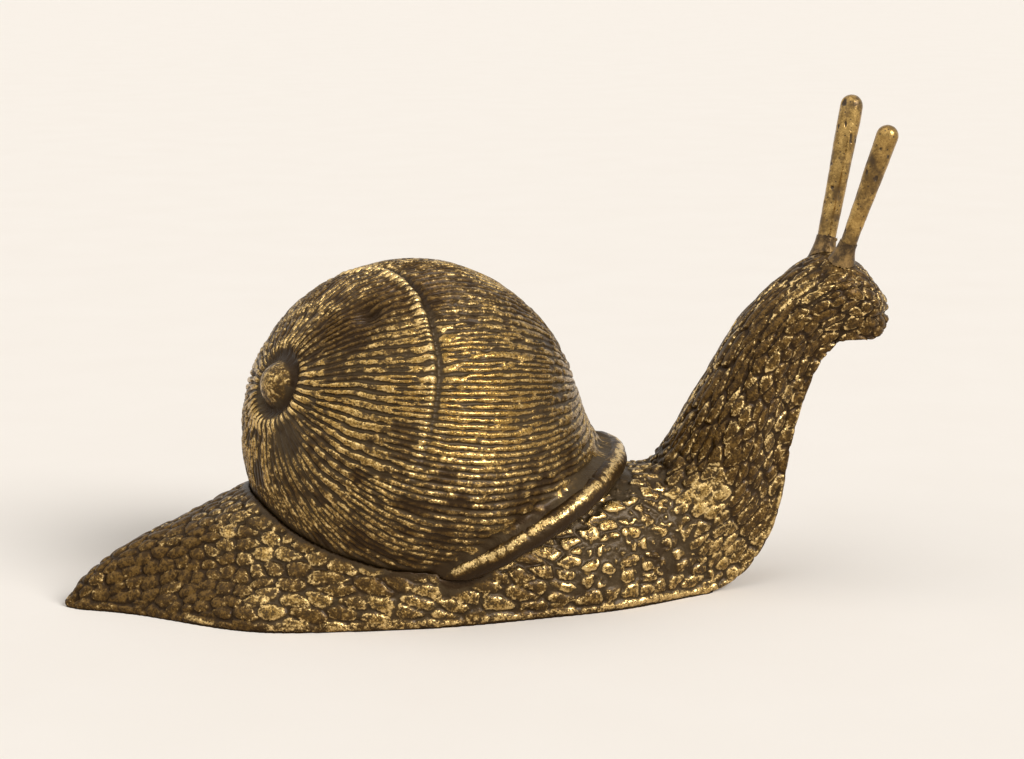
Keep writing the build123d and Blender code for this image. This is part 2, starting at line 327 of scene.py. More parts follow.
def settled(made: bpy.types.Object, modifier: str, **settings: object) -> None:
    """Add a modifier to an object and make its result the object's mesh.

    Args:
        made: Object to change.
        modifier: Type of the modifier.
        **settings: Values of the modifier.
    """
    step = made.modifiers.new(modifier.lower(), modifier)
    for key, value in settings.items():
        setattr(step, key, value)
    bpy.context.view_layer.update()
    graph = bpy.context.evaluated_depsgraph_get()
    old = made.data
    made.data = bpy.data.meshes.new_from_object(made.evaluated_get(graph))
    made.modifiers.clear()
    name = old.name
    bpy.data.meshes.remove(old)
    made.data.name = name


def evened(made: bpy.types.Object, voxel: float) -> None:
    """Remesh an object into even faces of a size in millimetres, and smooth them."""
    settled(made, "REMESH", mode="VOXEL", voxel_size=voxel * MM)
    settled(made, "SMOOTH", factor=0.5, iterations=3)


class Number:
    """One value of a material, which Python expressions can work with."""

    def __init__(self, board: Board, socket: bpy.types.NodeSocket) -> None:
        """Wrap a socket of a board."""
        self.board = board
        self.socket = socket

    def math(self, operation: str, *values: Number | float) -> Number:
        """Add a Math node on some values."""
        made = self.board.node("ShaderNodeMath", {"operation": operation}, dict(enumerate(values)))
        return Number(self.board, made.outputs[0])

    def __add__(self, other: Number | float) -> Number:
        """Sum of two values."""
        return self.math("ADD", self, other)

    def __radd__(self, other: float) -> Number:
        """Sum with a plain number first."""
        return self.math("ADD", other, self)

    def __sub__(self, other: Number | float) -> Number:
        """Difference of two values."""
        return self.math("SUBTRACT", self, other)

    def __rsub__(self, other: float) -> Number:
        """Difference from a plain number."""
        return self.math("SUBTRACT", other, self)

    def __mul__(self, other: Number | float) -> Number:
        """Product of two values."""
        return self.math("MULTIPLY", self, other)

    def __rmul__(self, other: float) -> Number:
        """Product with a plain number first."""
        return self.math("MULTIPLY", other, self)

    def step(self, low: float, high: float) -> Number:
        """Smooth step from 0 at low to 1 at high."""
        made = self.board.node(
            "ShaderNodeMapRange",
            {"interpolation_type": "SMOOTHSTEP"},
            {"Value": self, "From Min": low, "From Max": high},
        )
        return Number(self.board, made.outputs["Result"])


class Board:
    """Node tree of one material."""

    def __init__(self, name: str) -> None:
        """Start a material with one shader."""
        self.material = bpy.data.materials.new(name)
        self.material.use_nodes = True
        self.tree = self.material.node_tree
        self.shader = self.tree.nodes["Principled BSDF"]
        self.place = self.node("ShaderNodeTexCoord", {}, {}).outputs["Object"]

    def node(self, kind: str, settings: dict[str, object], inputs: dict[str | int, object]) -> bpy.types.Node:
        """Add one node.

        Args:
            kind: Type of the node.
            settings: Values that are set on the node first.
            inputs: Values or links of its sockets, by name or number.

        Returns:
            The node.
        """
        made = self.tree.nodes.new(kind)
        for key, value in settings.items():
            setattr(made, key, value)
        for key, value in inputs.items():
            self.feed(made.inputs[key], value)
        return made

    def feed(self, socket: bpy.types.NodeSocket, value: object) -> None:
        """Link a value to a socket, or set a plain one.

        Args:
            socket: Socket to fill.
            value: Number, socket, colour or plain number.
        """
        if isinstance(value, Number):
            value = value.socket
        if isinstance(value, bpy.types.NodeSocket):
            self.tree.links.new(value, socket)
        elif isinstance(value, tuple) and socket.type == "RGBA":
            socket.default_value = (*value, 1.0)
        else:
            socket.default_value = value

    def kept(self, name: str) -> Number:
        """Number that the mesh keeps for each point."""
        return Number(self, self.node("ShaderNodeAttribute", {"attribute_name": name}, {}).outputs["Fac"])

    def noise(self, size: float, detail: float = 2.0, rough: float = 0.5) -> Number:
        """Noise from 0 to 1 with lumps of a size in millimetres."""
        inputs = {"Vector": self.place, "Scale": 1.0 / (size * MM), "Detail": detail, "Roughness": rough}
        return Number(self, self.node("ShaderNodeTexNoise", {}, inputs).outputs["Fac"])

    def pits(self, spacing: float) -> Number:
        """Distance from scattered points, in shares of their spacing in millimetres."""
        inputs = {"Vector": self.place, "Scale": 1.0 / (spacing * MM)}
        return Number(self, self.node("ShaderNodeTexVoronoi", {}, inputs).outputs["Distance"])

    def mix(self, share: Number, low: object, high: object) -> bpy.types.NodeSocket:
        """Colour between two colours.

        Args:
            share: 0 for the first, 1 for the second.
            low: First colour or socket.
            high: Second colour or socket.

        Returns:
            Socket of the mixed colour.
        """
        made = self.node("ShaderNodeMix", {"data_type": "RGBA"}, {0: share, 6: low, 7: high})
        return made.outputs[2]

    def bump(self, height: Number, depth: float, strength: float) -> None:
        """Feed fine relief to the shader's normal, its depth in millimetres."""
        inputs = {"Height": height, "Distance": depth * MM, "Strength": strength}
        self.feed(self.shader.inputs["Normal"], self.node("ShaderNodeBump", {}, inputs).outputs["Normal"])

    def set(self, **values: object) -> None:
        """Fill sockets of the shader, with spaces in their names written as underscores."""
        for key, value in values.items():
            self.feed(self.shader.inputs[key.replace("_", " ")], value)


class SkyBoard(Board):
    """Node tree of the surroundings."""

    def __init__(self, name: str) -> None:
        """Start a world with one background."""
        self.world = bpy.data.worlds.new(name)
        self.world.use_nodes = True
        self.tree = self.world.node_tree
        self.shader = self.tree.nodes["Background"]


@dataclass(frozen=True)
class PatinatedBronze:
    """Dark patina in grooves, brown on what stands proud, golden metal on rubbed rims and crests."""

    name: str
    groove: Colour = (0.030, 0.015, 0.004)
    # Lighter ground colour: partly dust, partly a painted sheen.
    dust_and_sheen: Colour = (0.062, 0.040, 0.018)
    brown: Colour = (0.130, 0.070, 0.016)
    gold_deep: Colour = (0.265, 0.152, 0.034)
    gold_light: Colour = (0.74, 0.52, 0.22)

    def material(self) -> bpy.types.Material:
        """Build the material.

        Returns:
            The material, which reads the kept numbers relief, edge and wear.
        """
        board = Board(self.name)
        relief = board.kept("relief")
        edge = board.kept("edge")
        wear = board.kept("wear")
        coarse = board.noise(1.4, 3.0, 0.55)
        fine = board.noise(0.48, 2.0, 0.5)
        pits = board.pits(0.95).step(0.12, 0.34)
        proud = (relief + 0.5 * (coarse - 0.5)).step(0.25, 0.70)
        score = 0.50 * wear + 0.35 * edge + 0.30 * relief + 1.1 * (coarse - 0.5) + 0.6 * (fine - 0.5)
        # Share of golden metal: rubbed rims and crests, and painted highlights where the kept numbers bring
        # them.
        worn_and_painted_highlight = score.step(0.56, 0.88) * relief.step(0.30, 0.60) * (0.2 + 0.8 * pits)
        mottled = (coarse + 0.6 * (fine - 0.5)).step(0.36, 0.62)
        # Ground goes from the dark groove patina to a lighter colour on well-rubbed parts, partly dust and
        # partly a painted sheen.
        ground = board.mix(wear.step(0.25, 1.0), self.groove, self.dust_and_sheen)
        dull = board.mix(proud * (0.15 + 0.85 * pits * mottled), ground, self.brown)
        shine = (0.6 * edge + coarse + 0.9 * (fine - 0.5)).step(0.40, 1.10)
        gold = board.mix(shine, self.gold_deep, self.gold_light)
        board.set(
            Base_Color=board.mix(worn_and_painted_highlight, dull, gold),
            Metallic=0.50 + 0.15 * proud + 0.33 * worn_and_painted_highlight,
            Roughness=0.46 - 0.19 * worn_and_painted_highlight + 0.25 * (fine - 0.5),
            Specular_IOR_Level=0.1,
            Coat_Weight=0.10,
            Coat_Roughness=0.22,
        )
        board.bump(0.35 * worn_and_painted_highlight + 0.50 * coarse + 0.35 * fine + 0.25 * pits, 0.24, 0.9)
        return board.material


@dataclass(frozen=True)
class RubbedBronze:
    """Golden brown metal, handled smooth, with casting pits and dark streaks."""

    name: str
    stain: Colour = (0.060, 0.036, 0.016)
    metal: Colour = (0.23, 0.135, 0.040)
    bright: Colour = (0.52, 0.33, 0.11)

    def material(self) -> bpy.types.Material:
        """Build the material.

        Returns:
            The material, which reads the kept number relief.
        """
        board = Board(self.name)
        relief = board.kept("relief")
        streak = board.noise(4.5, 4.0, 0.6)
        fine = board.noise(0.5, 2.0)
        pits = board.pits(1.4).step(0.08, 0.26)
        clean = (relief + 1.3 * (streak - 0.5) + 0.2 * (fine - 0.5)).step(0.30, 0.85) * pits
        metal = board.mix((streak + 0.4 * (fine - 0.5)).step(0.35, 0.75), self.metal, self.bright)
        board.set(
            Base_Color=board.mix(clean, self.stain, metal),
            Metallic=0.60 + 0.35 * clean,
            Roughness=0.40 - 0.14 * clean + 0.2 * (fine - 0.5),
        )
        board.bump(0.5 * clean + 0.3 * fine + 0.3 * streak, 0.12, 0.7)
        return board.material


@dataclass(frozen=True)
class BrazeFiller:
    """Smooth brown filler with a dull golden sheen."""

    name: str
    dark: Colour = (0.055, 0.033, 0.015)
    light: Colour = (0.26, 0.155, 0.052)

    def material(self) -> bpy.types.Material:
        """Build the material."""
        board = Board(self.name)
        cloud = board.noise(2.2, 3.0)
        fine = board.noise(0.4, 2.0)
        board.set(
            Base_Color=board.mix((cloud + 0.4 * (fine - 0.5)).step(0.3, 0.75), self.dark, self.light),
            Metallic=0.75,
            Roughness=0.32 + 0.22 * cloud,
        )
        board.bump(0.7 * cloud + 0.3 * fine, 0.15, 0.5)
        return board.material


@dataclass(frozen=True)
class DullSteel:
    """Plain turned steel, dulled by handling."""

    name: str
    dark: Colour = (0.22, 0.22, 0.23)
    light: Colour = (0.50, 0.50, 0.51)

    def material(self) -> bpy.types.Material:
        """Build the material."""
        board = Board(self.name)
        cloud = board.noise(3.0, 4.0, 0.6)
        fine = board.noise(0.3, 2.0)
        board.set(
            Base_Color=board.mix(cloud.step(0.35, 0.7), self.dark, self.light),
            Metallic=1.0,
            Roughness=0.30 + 0.25 * fine,
        )
        board.bump(0.6 * fine + 0.4 * cloud, 0.03, 0.5)
        return board.material


@dataclass(frozen=True)
class StudioPaper:
    """Pale matt floor."""

    name: str
    pale: Colour = (0.91, 0.85, 0.78)
    shade: Colour = (0.88, 0.815, 0.74)

    def material(self) -> bpy.types.Material:
        """Build the material."""
        board = Board(self.name)
        board.set(Base_Color=board.mix(board.noise(40.0, 4.0), self.shade, self.pale), Roughness=0.9)
        return board.material


@dataclass
class Ball:
    """Place and direction of the shell's ball, shared by all that touches it, in millimetres."""

    centre: Triple = (-17.7, 0.0, 42.386)
    radius: float = 42.7
    apex: Triple = (-0.82798, -0.40674, 0.38607)
    seat: float = 12.0
    lip_centre: Triple = (3.0, 0.0, 20.0)
    lip_tilt: float = 27.0
    lip_radius: float = 34.0
    lip_bead: float = 3.4
    flare_height: float = 18.0
    flare_step: float = 1.2

    def frame(self) -> Matrix:
        """Turn and place of the ball, with the apex along its own Z, in metres."""
        up = Vector(self.apex).normalized()
        side = Vector((0.0, 0.0, 1.0)).cross(up).normalized()
        turn = Matrix((side, up.cross(side), up)).transposed().to_4x4()
        return Matrix.Translation(Vector(self.centre) * MM) @ turn

    def lip_frame(self) -> Matrix:
        """Turn and place of the lip's ring, in metres."""
        turn = Matrix.Rotation(math.radians(-self.lip_tilt), 4, "Y")
        return Matrix.Translation(Vector(self.lip_centre) * MM) @ turn

    def in_lip(self, points: np.ndarray) -> np.ndarray:
        """Points seen from the lip's ring, in millimetres."""
        turn = np.array(self.lip_frame().to_3x3())
        return (points - np.array(self.lip_centre)) @ turn

    def to_ball(self, points: np.ndarray) -> np.ndarray:
        """Distance of points from the ball."""
        return np.linalg.norm(points - np.array(self.centre), axis=1) - self.radius

    def to_lip(self, points: np.ndarray, bead: float) -> np.ndarray:
        """Distance of points from the lip's bead of a given radius."""
        own = self.in_lip(points)
        ring = np.hypot(own[:, 0], own[:, 1]) - self.lip_radius
        return np.hypot(ring, own[:, 2]) - bead

    def to_flare(self, points: np.ndarray) -> np.ndarray:
        """Distance of points from the flank between ball and lip."""
        own = self.in_lip(points)
        middle = self.in_lip(np.array([self.centre]))[0]
        top = math.sqrt(self.radius**2 - (middle[2] - self.flare_height) ** 2) - self.flare_step
        share = np.clip(own[:, 2] / self.flare_height, 0.0, 1.0)
        radius = self.lip_radius - self.flare_step + share * (top - self.lip_radius + self.flare_step)
        side = 0.93 * (np.hypot(own[:, 0] - share * middle[0], own[:, 1]) - radius)
        return np.maximum(side, np.maximum(-own[:, 2], own[:, 2] - self.flare_height))

    def to_shell(self, points: np.ndarray, bead: float) -> np.ndarray:
        """Distance of points from the plain shell, with its corners rounded."""
        flank = soft_union(self.to_ball(points), self.to_flare(points), 3.0)
        return soft_union(flank, self.to_lip(points, bead), 3.2)


@dataclass
class Shell:
    """Coiled shell: ribbed whorls with a suture and a nub, and the rolled lip, in millimetres."""

    ball: Ball
    around: int = 780
    rings: int = 146
    rib_pole: Triple = (38.0, 16.0, 50.0)
    rib_count: float = 150.0
    rib_least: float = 1.3
    rib_depth: float = 0.75
    suture_start: float = 14.0
    suture_pitch: float = 23.0
    suture_phase: float = 30.0
    suture_depth: float = 0.8
    suture_width: float = 0.8
    cord_width: float = 1.4
    cord_rise: float = 0.8
    cord_offset: float = 1.9
    valley_width: float = 4.5
    nub_radius: float = 5.9
    nub_rise: float = 2.5
    moat_tilt: float = 9.9
    moat_width: float = 1.25
    moat_depth: float = 1.5
    ridge_tilt: float = 14.8
    ridge_width: float = 1.5
    hollow: Triple = (-30.4, -22.7, 76.2)
    bare_patch: Triple = (-51.1, -26.4, 46.3)
    rib_exit: Triple = (23.0, 10.5, 51.5)
    # Centre of a painted highlight on the last whorl.
    painted_highlight_patch: Triple = (-6.9, -37.3, 60.1)
    dull_swing: float = 150.0
    dull_width: float = 22.0
    lip_roll: float = 28.0
    lip_crest: float = 27.0
    lip_inset: float = 0.5
    trace_start: float = 16.0
    trace_steps: int = 40
    trace_stride: float = 0.85
    grain: Grain = Grain(11)

    def build(self, frame: dict) -> list[bpy.types.Object]:
        """Make the whorls and the lip.

        Args:
            frame: The loaded frame.

        Returns:
            Both pieces.
        """
        body = merged_copy(frame["nodes"]["body_casting"])
        tree = BVHTree.FromBMesh(body)
        body.free()
        whorls = piece("shell_whorls", self.whorls(tree), Slot.SHELL, "shell_casting")
        lip = piece("shell_lip", self.lip(), Slot.SHELL, "shell_casting")
        return [whorls, lip]

    def rib_line(self) -> tuple[np.ndarray, np.ndarray, np.ndarray, np.ndarray]:
        """Line that all the ribs' planes share.

        Returns:
            The apex, which lies on it, its direction, and two directions across it.
        """
        apex = np.array(self.ball.centre) + self.ball.radius * np.array(self.ball.apex)
        along = np.array(self.rib_pole) - apex
        along /= np.linalg.norm(along)
        first = np.cross((0.0, 1.0, 0.0), along)
        first /= np.linalg.norm(first)
        return apex, along, first, np.cross(first, along)

    def on_ribs(self, unit: np.ndarray) -> np.ndarray:
        """Directions from the ball's centre, with a unit ball's meridians laid along the ribs.

        Args:
            unit: Points of a unit ball.

        Returns:
            Unit directions.
        """
        apex, along, first, second = self.rib_line()
        swing = np.arctan2(unit[:, 1], unit[:, 0])[:, None]
        share = np.arccos(np.clip(unit[:, 2], -1.0, 1.0)) / math.pi
        rise = first * np.cos(swing) + second * np.sin(swing)
        normal = np.cross(along, rise)
        offset = np.array(self.ball.centre) - apex
        offset = offset - along * (offset @ along)
        aside = normal @ offset
        radius = np.sqrt(self.ball.radius**2 - aside**2)
        start = np.arcsin(-(rise @ offset) / radius)
        angle = (math.pi - start - (math.pi - 2.0 * start) * share)[:, None]
        reach = along * np.cos(angle) + rise * np.sin(angle)
        return (reach * radius[:, None] - normal * aside[:, None]) / self.ball.radius

    def reach(self, aim: np.ndarray) -> np.ndarray:
        """Distance from the ball's centre to the plain shell.

        Args:
            aim: Unit directions from the centre.

        Returns:
            One distance for each direction.
        """
        centre = np.array(self.ball.centre)
        far = np.full(len(aim), self.ball.radius + self.trace_start)
        bead = self.ball.lip_bead - self.lip_inset
        for _ in range(self.trace_steps):
            far -= self.trace_stride * self.ball.to_shell(centre + aim * far[:, None], bead)
        return far

    def whorls(self, body: BVHTree) -> bpy.types.Mesh:
        """Ribbed whorls, cut off at the seat.

        Args:
            body: Tree of the body's faces, in metres.

        Returns:
            The mesh.
        """
        shape = bmesh.new()
        bmesh.ops.create_uvsphere(shape, u_segments=self.around, v_segments=self.rings, radius=1.0)
        carving = Carving(mesh_of(shape, "shell_whorls"))
        aim = self.on_ribs(carving.read() * MM)
        far = self.reach(aim)
        points = np.array(self.ball.centre) + aim * far[:, None]
        lift, relief, edge, wear = self.detail(aim, points)
        gap = np.array([body.find_nearest(spot)[3] for spot in (points * MM).tolist()]) / MM
        clear = ramp(gap, 0.5, 2.6)
        carving.write(points + aim * (np.minimum(lift, 0.0) * clear + np.maximum(lift, 0.0))[:, None])
        # Painted shade: the colour is darkened next to the body, in the crease where the shell sits.
        carving.store(relief=relief * (0.35 + 0.65 * clear), edge=edge, wear=wear)
        return self.seated(carving.mesh)

    def seated(self, mesh: bpy.types.Mesh) -> bpy.types.Mesh:
        """Cut a mesh off flat at the seat and close it.

        Args:
            mesh: Mesh to cut.

        Returns:
            The same mesh.
        """
        shape = bmesh.new()
        shape.from_mesh(mesh)
        everything = shape.verts[:] + shape.edges[:] + shape.faces[:]
        seat = Vector((0.0, 0.0, self.ball.seat * MM))
        cut = bmesh.ops.bisect_plane(
            shape, geom=everything, plane_co=seat, plane_no=(0, 0, 1), clear_inner=True
        )
        rim = [item for item in cut["geom_cut"] if isinstance(item, bmesh.types.BMEdge)]
        bmesh.ops.edgeloop_fill(shape, edges=rim)
        bmesh.ops.recalc_face_normals(shape, faces=shape.faces)
        shape.to_mesh(mesh)
        shape.free()
        Carving(mesh).smooth()
        return mesh

    def coil(self, aim: np.ndarray) -> tuple[np.ndarray, np.ndarray, np.ndarray]:
        """Where directions lie on the coil.

        Args:
            aim: Unit directions from the ball's centre.

        Returns:
            Angle from the apex and angle round it, in degrees, and turns out from the first suture.
        """
        own = aim @ np.array(self.ball.frame().to_3x3())
        tilt = np.degrees(np.arccos(np.clip(own[:, 2], -1.0, 1.0)))
        swing = np.degrees(np.arctan2(own[:, 1], own[:, 0]))
        lead = np.mod((self.suture_phase - swing) / 360.0, 1.0)
        return tilt, swing, (tilt - self.suture_start) / self.suture_pitch - lead

    def suture(
        self, points: np.ndarray, swing: np.ndarray, turn: np.ndarray
    ) -> tuple[np.ndarray, np.ndarray, np.ndarray]:
        """Spiral seam between the whorls: faint near the apex, a clear groove on the last turn.

        Args:
            points: Points of the plain shell, in millimetres.
            swing: Angle round the apex in degrees.
            turn: Turns out from the first suture.

        Returns:
            Groove, valley beside it and cord of rib ends along it, each from 0 to 1.
        """
        part = turn - np.floor(turn)
        here = np.mod((self.suture_phase - swing) / 360.0, 1.0) + np.round(turn)
        clear = 0.14 * ramp(here, 0.3, 0.6) + 0.10 * ramp(here, 1.4, 1.7) + 0.76 * ramp(here, 1.72, 1.86)
        clear *= 1.0 - ramp(here, 1.98, 2.2)
        span = self.suture_pitch * math.radians(1.0) * self.ball.radius
        away = span * np.where(part < 0.5, part, part - 1.0) + 0.4 * self.grain.layers(points, 7.0)
        groove = clear * bell(away, self.suture_width)
        valley = clear * bell(away, self.valley_width)
        cord = clear * bell(away + self.cord_offset, self.cord_width)
        return groove, valley, cord

    def detail(
        self, aim: np.ndarray, points: np.ndarray
    ) -> tuple[np.ndarray, np.ndarray, np.ndarray, np.ndarray]:
        """Suture, nub and ribs.

        Args:
            aim: Unit directions from the ball's centre.
            points: Points of the plain shell, in millimetres.

        Returns:
            Lift of each point, and for the finish its relief, edge, and how rubbed it is, with painted
            highlights and painted shade added.
        """
        tilt, swing, turn = self.coil(aim)
        degree = math.radians(1.0) * self.ball.radius
        groove, valley, cord = self.suture(points, swing, turn)
        ribs, rim, kept = self.ribs(points, tilt)
        hollow = dent(points, self.hollow, 3.4)
        bare = np.maximum(dent(points, self.bare_patch, 5.5), groove)
        bare = np.maximum(bare, 1.0 - ramp(tilt, 11.0, 12.5))
        bare = np.maximum(bare, 0.8 * dent(points, self.rib_exit, 9.0))
        lip_gap = self.ball.to_lip(points, self.ball.lip_bead)
        ribs = ribs * (1.0 - 0.9 * bare) * (0.3 + 0.7 * ramp(lip_gap, 0.8, 4.5))
        isles = ramp(self.grain.waves(points, 1.9), 0.02, 0.25) * (1.0 - ramp(lip_gap, 2.5, 4.5))
        ribs = np.maximum(ribs, 0.8 * isles * ramp(lip_gap, 0.2, 0.7))
        below = 0.3 + 0.7 * ramp(np.cos(np.radians(swing + 50.0)), -0.3, 0.5)
        moat = below * bell((tilt - self.moat_tilt) * degree, self.moat_width)
        ridge = below * bell((tilt - self.ridge_tilt) * degree, self.ridge_width)
        lift = 0.22 * self.grain.layers(points, 9.0) - self.rib_depth * (1.0 - ribs)
        lift += self.cord_rise * cord - self.suture_depth * groove - 0.35 * valley - 2.6 * hollow
        lift += 0.5 * ridge - self.moat_depth * moat
        crown = ramp(points[:, 2], 58.0, 76.0) * (1.0 - ramp(points[:, 0], -18.0, -8.0))
        low = self.dull_band(points)
        wear = 0.50 + 0.55 * kept + 0.28 * self.grain.layers(points, 13.0) - 0.32 * crown - 0.45 * low
        wear -= 0.5 * (1.0 - ramp(points[:, 2], 14.0, 44.0))
        # Painted highlight: more gold round the centre of the highlight on the last whorl.
        wear += 0.6 * dent(points, self.painted_highlight_patch, 15.0)
        # Painted shade: the hollow's dent is also darkened in colour.
        wear += 0.6 * cord + 0.5 * ridge + 0.3 * isles - 0.9 * hollow - 0.8 * moat
        relief = np.clip(ribs * (1.0 - 0.8 * groove) * (1.0 - 0.6 * moat) * (1.0 - 0.8 * hollow), 0.0, 1.0)
        edge = np.clip(0.6 * rim * ribs + 0.6 * cord + 0.4 * ridge, 0.0, 1.0)
        return self.nub(points, tilt, swing, lift, relief, edge, wear)

    def dull_band(self, points: np.ndarray) -> np.ndarray:
        """Dull, less golden band that falls from below the nub to the seat."""
        apex, _, first, second = self.rib_line()
        from_apex = points - apex
        swing = np.degrees(np.arctan2(from_apex @ second, from_apex @ first))
        middle = self.dull_swing + 6.0 * self.grain.waves(points, 11.0)
        return bell(np.mod(swing - middle + 180.0, 360.0) - 180.0, self.dull_width)

    def nub(
        self,
        points: np.ndarray,
        tilt: np.ndarray,
        swing: np.ndarray,
        lift: np.ndarray,
        relief: np.ndarray,
        edge: np.ndarray,
        wear: np.ndarray,
    ) -> tuple[np.ndarray, np.ndarray, np.ndarray, np.ndarray]:
        """Raise the scratched dome at the apex.

        Args:
            points: Points of the plain shell, in millimetres.
            tilt: Angle from the apex in degrees.
            swing: Angle round the apex in degrees.
            lift: Lift of each point so far.
            relief: Relief so far.
            edge: Edge so far.
            wear: How far each point is rubbed so far, with painted highlights and painted shade.

        Returns:
            The four numbers with the dome in them.
        """
        height = self.ball.radius + self.nub_rise - self.nub_radius
        inside = self.nub_radius**2 - (height * np.sin(np.radians(tilt))) ** 2
        dome = height * np.cos(np.radians(tilt)) + np.sqrt(np.clip(inside, 0.0, None)) - self.ball.radius
        here = (tilt < 30.0) & (inside > 0.0) & (dome > lift)
        scratch = 0.5 + 0.5 * self.grain.waves(points, 1.2) * np.sin(np.radians(swing) * 17.0)
        flank = ramp(tilt, 1.5, 5.0)
        lift = np.where(here, dome - 0.20 * scratch * flank, lift)
        relief = np.where(here, 0.95 - 0.3 * scratch * flank - 0.25 * ramp(tilt, 5.5, 8.0), relief)
        wear = np.where(here, 0.85 - 0.4 * scratch * flank, wear)
        return lift, relief, np.where(here, 0.35 * (1.0 - scratch), edge), wear

    def ribs(self, points: np.ndarray, tilt: np.ndarray) -> tuple[np.ndarray, np.ndarray, np.ndarray]:
        """Broken growth ribs that run out from the apex.

        Args:
            points: Points of the plain shell, in millimetres.
            tilt: Angle from the apex in degrees.

        Returns:
            Height of the ribs, how near each point is to a rib's edge, and how whole its rib is, from 0 to 1.
        """
        apex, _, first, second = self.rib_line()
        from_apex = points - apex
        up, side = from_apex @ first, from_apex @ second
        pitch = 2.0 * math.pi * np.hypot(up, side) / self.rib_count
        uneven = pitch * (1.0 + 0.25 * self.grain.waves(points, 6.0))
        halvings = np.clip(np.ceil(np.log2(self.rib_least / np.maximum(uneven, 1e-3))), 0.0, 3.0)
        pitch = pitch * 2.0**halvings
        drift = 0.35 * self.grain.waves(points, 12.0) + 0.14 * self.grain.waves(points, 3.4)
        phase = (np.arctan2(side, up) / (2.0 * math.pi)) * self.rib_count * 0.5**halvings + drift
        number = np.floor(phase)
        across = np.abs(phase - number - 0.5)
        row = np.stack([number + 0.5, halvings + 0.5, np.radians(tilt) * self.ball.radius], axis=1)
        breaks = Grain(23).waves(row * np.array([1.0, 1.0, 0.17]), 1.0)
        nicks = Grain(29).waves(row * np.array([1.0, 1.0, 0.50]), 1.0)
        ragged = 0.16 * self.grain.waves(points, 1.6) + 0.16 * self.grain.waves(points, 0.8)
        width = 0.34 + 0.08 * breaks + 0.7 * ragged
        slope = np.clip(0.45 / np.maximum(pitch, 0.3), 0.10, 0.5)
        crest = 1.0 - ramp(across, width - 0.5 * slope, width + 0.5 * slope)
        kept = ramp(breaks + 0.6 * nicks + 1.4 * ragged, -0.65, 0.05)
        round_top = 1.0 - np.clip(across / np.maximum(width, 0.1), 0.0, 1.0) ** 2
        split = ramp(nicks + ragged, 0.35, 0.6) * bell(across, 0.10)
        height = crest * (0.64 + 0.36 * round_top) * (0.45 + 0.55 * kept) * (1.0 - 0.5 * split)
        rim = bell(across - width + 0.07, 0.08)
        return height, rim, kept

    def lip(self) -> bpy.types.Mesh:
        """Rolled lip, a ring cut off at the seat, which thins out under the shell.

        Returns:
            The mesh.
        """
        shape = bmesh.new()
        section = bmesh.ops.create_circle(shape, segments=40, radius=self.ball.lip_bead * MM)
        stand = Matrix.Translation((self.ball.lip_radius * MM, 0, 0)) @ Matrix.Rotation(math.pi / 2, 4, "X")
        bmesh.ops.transform(shape, matrix=stand, verts=section["verts"])
        bmesh.ops.spin(
            shape,
            geom=shape.verts[:] + shape.edges[:],
            cent=(0, 0, 0),
            axis=(0, 0, 1),
            angle=2.0 * math.pi,
            steps=560,
            use_merge=True,
        )
        bmesh.ops.transform(shape, matrix=self.ball.lip_frame(), verts=shape.verts)
        bmesh.ops.remove_doubles(shape, verts=shape.verts, dist=MERGE)
        bmesh.ops.recalc_face_normals(shape, faces=shape.faces)
        carving = Carving(mesh_of(shape, "shell_lip"))
        points = carving.read()
        own = self.ball.in_lip(points)
        swing = np.degrees(np.arctan2(own[:, 1], own[:, 0]))
        full = ramp(points[:, 2], 11.5, 15.0)
        dents = self.grain.layers(points, 5.0)
        nick = Grain(41).waves(np.stack([swing / 1.1, 0 * swing, 0 * swing], axis=1), 1.0)
        notch = ramp(nick, 0.6, 0.85) * ramp(self.grain.waves(points, 1.8), -0.1, 0.4)
        depth = 0.12 + full * (0.13 + 0.2 * dents + 0.25 * notch)
        carving.write(points - carving.read("normal") * depth[:, None])
        roll = np.degrees(np.arctan2(own[:, 2], np.hypot(own[:, 0], own[:, 1]) - self.ball.lip_radius))
        crest = bell(roll - self.lip_roll - 14.0 * dents, self.lip_crest) * (0.4 + 0.6 * full)
        islands = ramp(self.grain.waves(points, 1.5), 0.25, 0.5) * ramp(roll, 60.0, 80.0)
        relief = np.maximum(crest, 0.8 * islands * full) - 0.5 * notch
        carving.store(
            relief=np.clip(0.12 + 0.9 * relief, 0.0, 1.0),
            edge=0.6 * crest * (1.0 - notch),
            wear=0.20 + 0.55 * crest + 0.35 * dents,
        )
        return self.seated(carving.mesh)


@dataclass(frozen=True)
class Spine:
    """Line through the middle of the body, from tail to muzzle, in millimetres."""

    line: tuple[tuple[float, float], ...] = (
        (-112.0, 2.0),
        (-75.0, 9.0),
        (-35.0, 14.0),
        (20.0, 15.0),
        (45.0, 19.0),
        (57.0, 29.0),
        (65.0, 43.0),
        (72.0, 56.0),
        (81.0, 67.0),
        (93.0, 73.0),
        (112.0, 71.0),
    )

    def along(self, points: np.ndarray) -> tuple[np.ndarray, np.ndarray]:
        """Where points lie beside the line.

        Args:
            points: Points in millimetres.

        Returns:
            Length along the line, and height off it.
        """
        flat = points[:, [0, 2]]
        best = np.full(len(points), 1e9)
        length = np.zeros(len(points))
        height = np.zeros(len(points))
        start = 0.0
        for first, second in zip(self.line, self.line[1:]):
            a, b = np.array(first), np.array(second)
            span = float(np.linalg.norm(b - a))
            way = (b - a) / span
            run = np.clip((flat - a) @ way, 0.0, span)
            off = flat - a - run[:, None] * way
            gap = np.sum(off * off, axis=1)
            near = gap < best
            best = np.where(near, gap, best)
            length = np.where(near, start + run, length)
            height = np.where(near, off @ np.array([-way[1], way[0]]), height)
            start += span
        return length, height


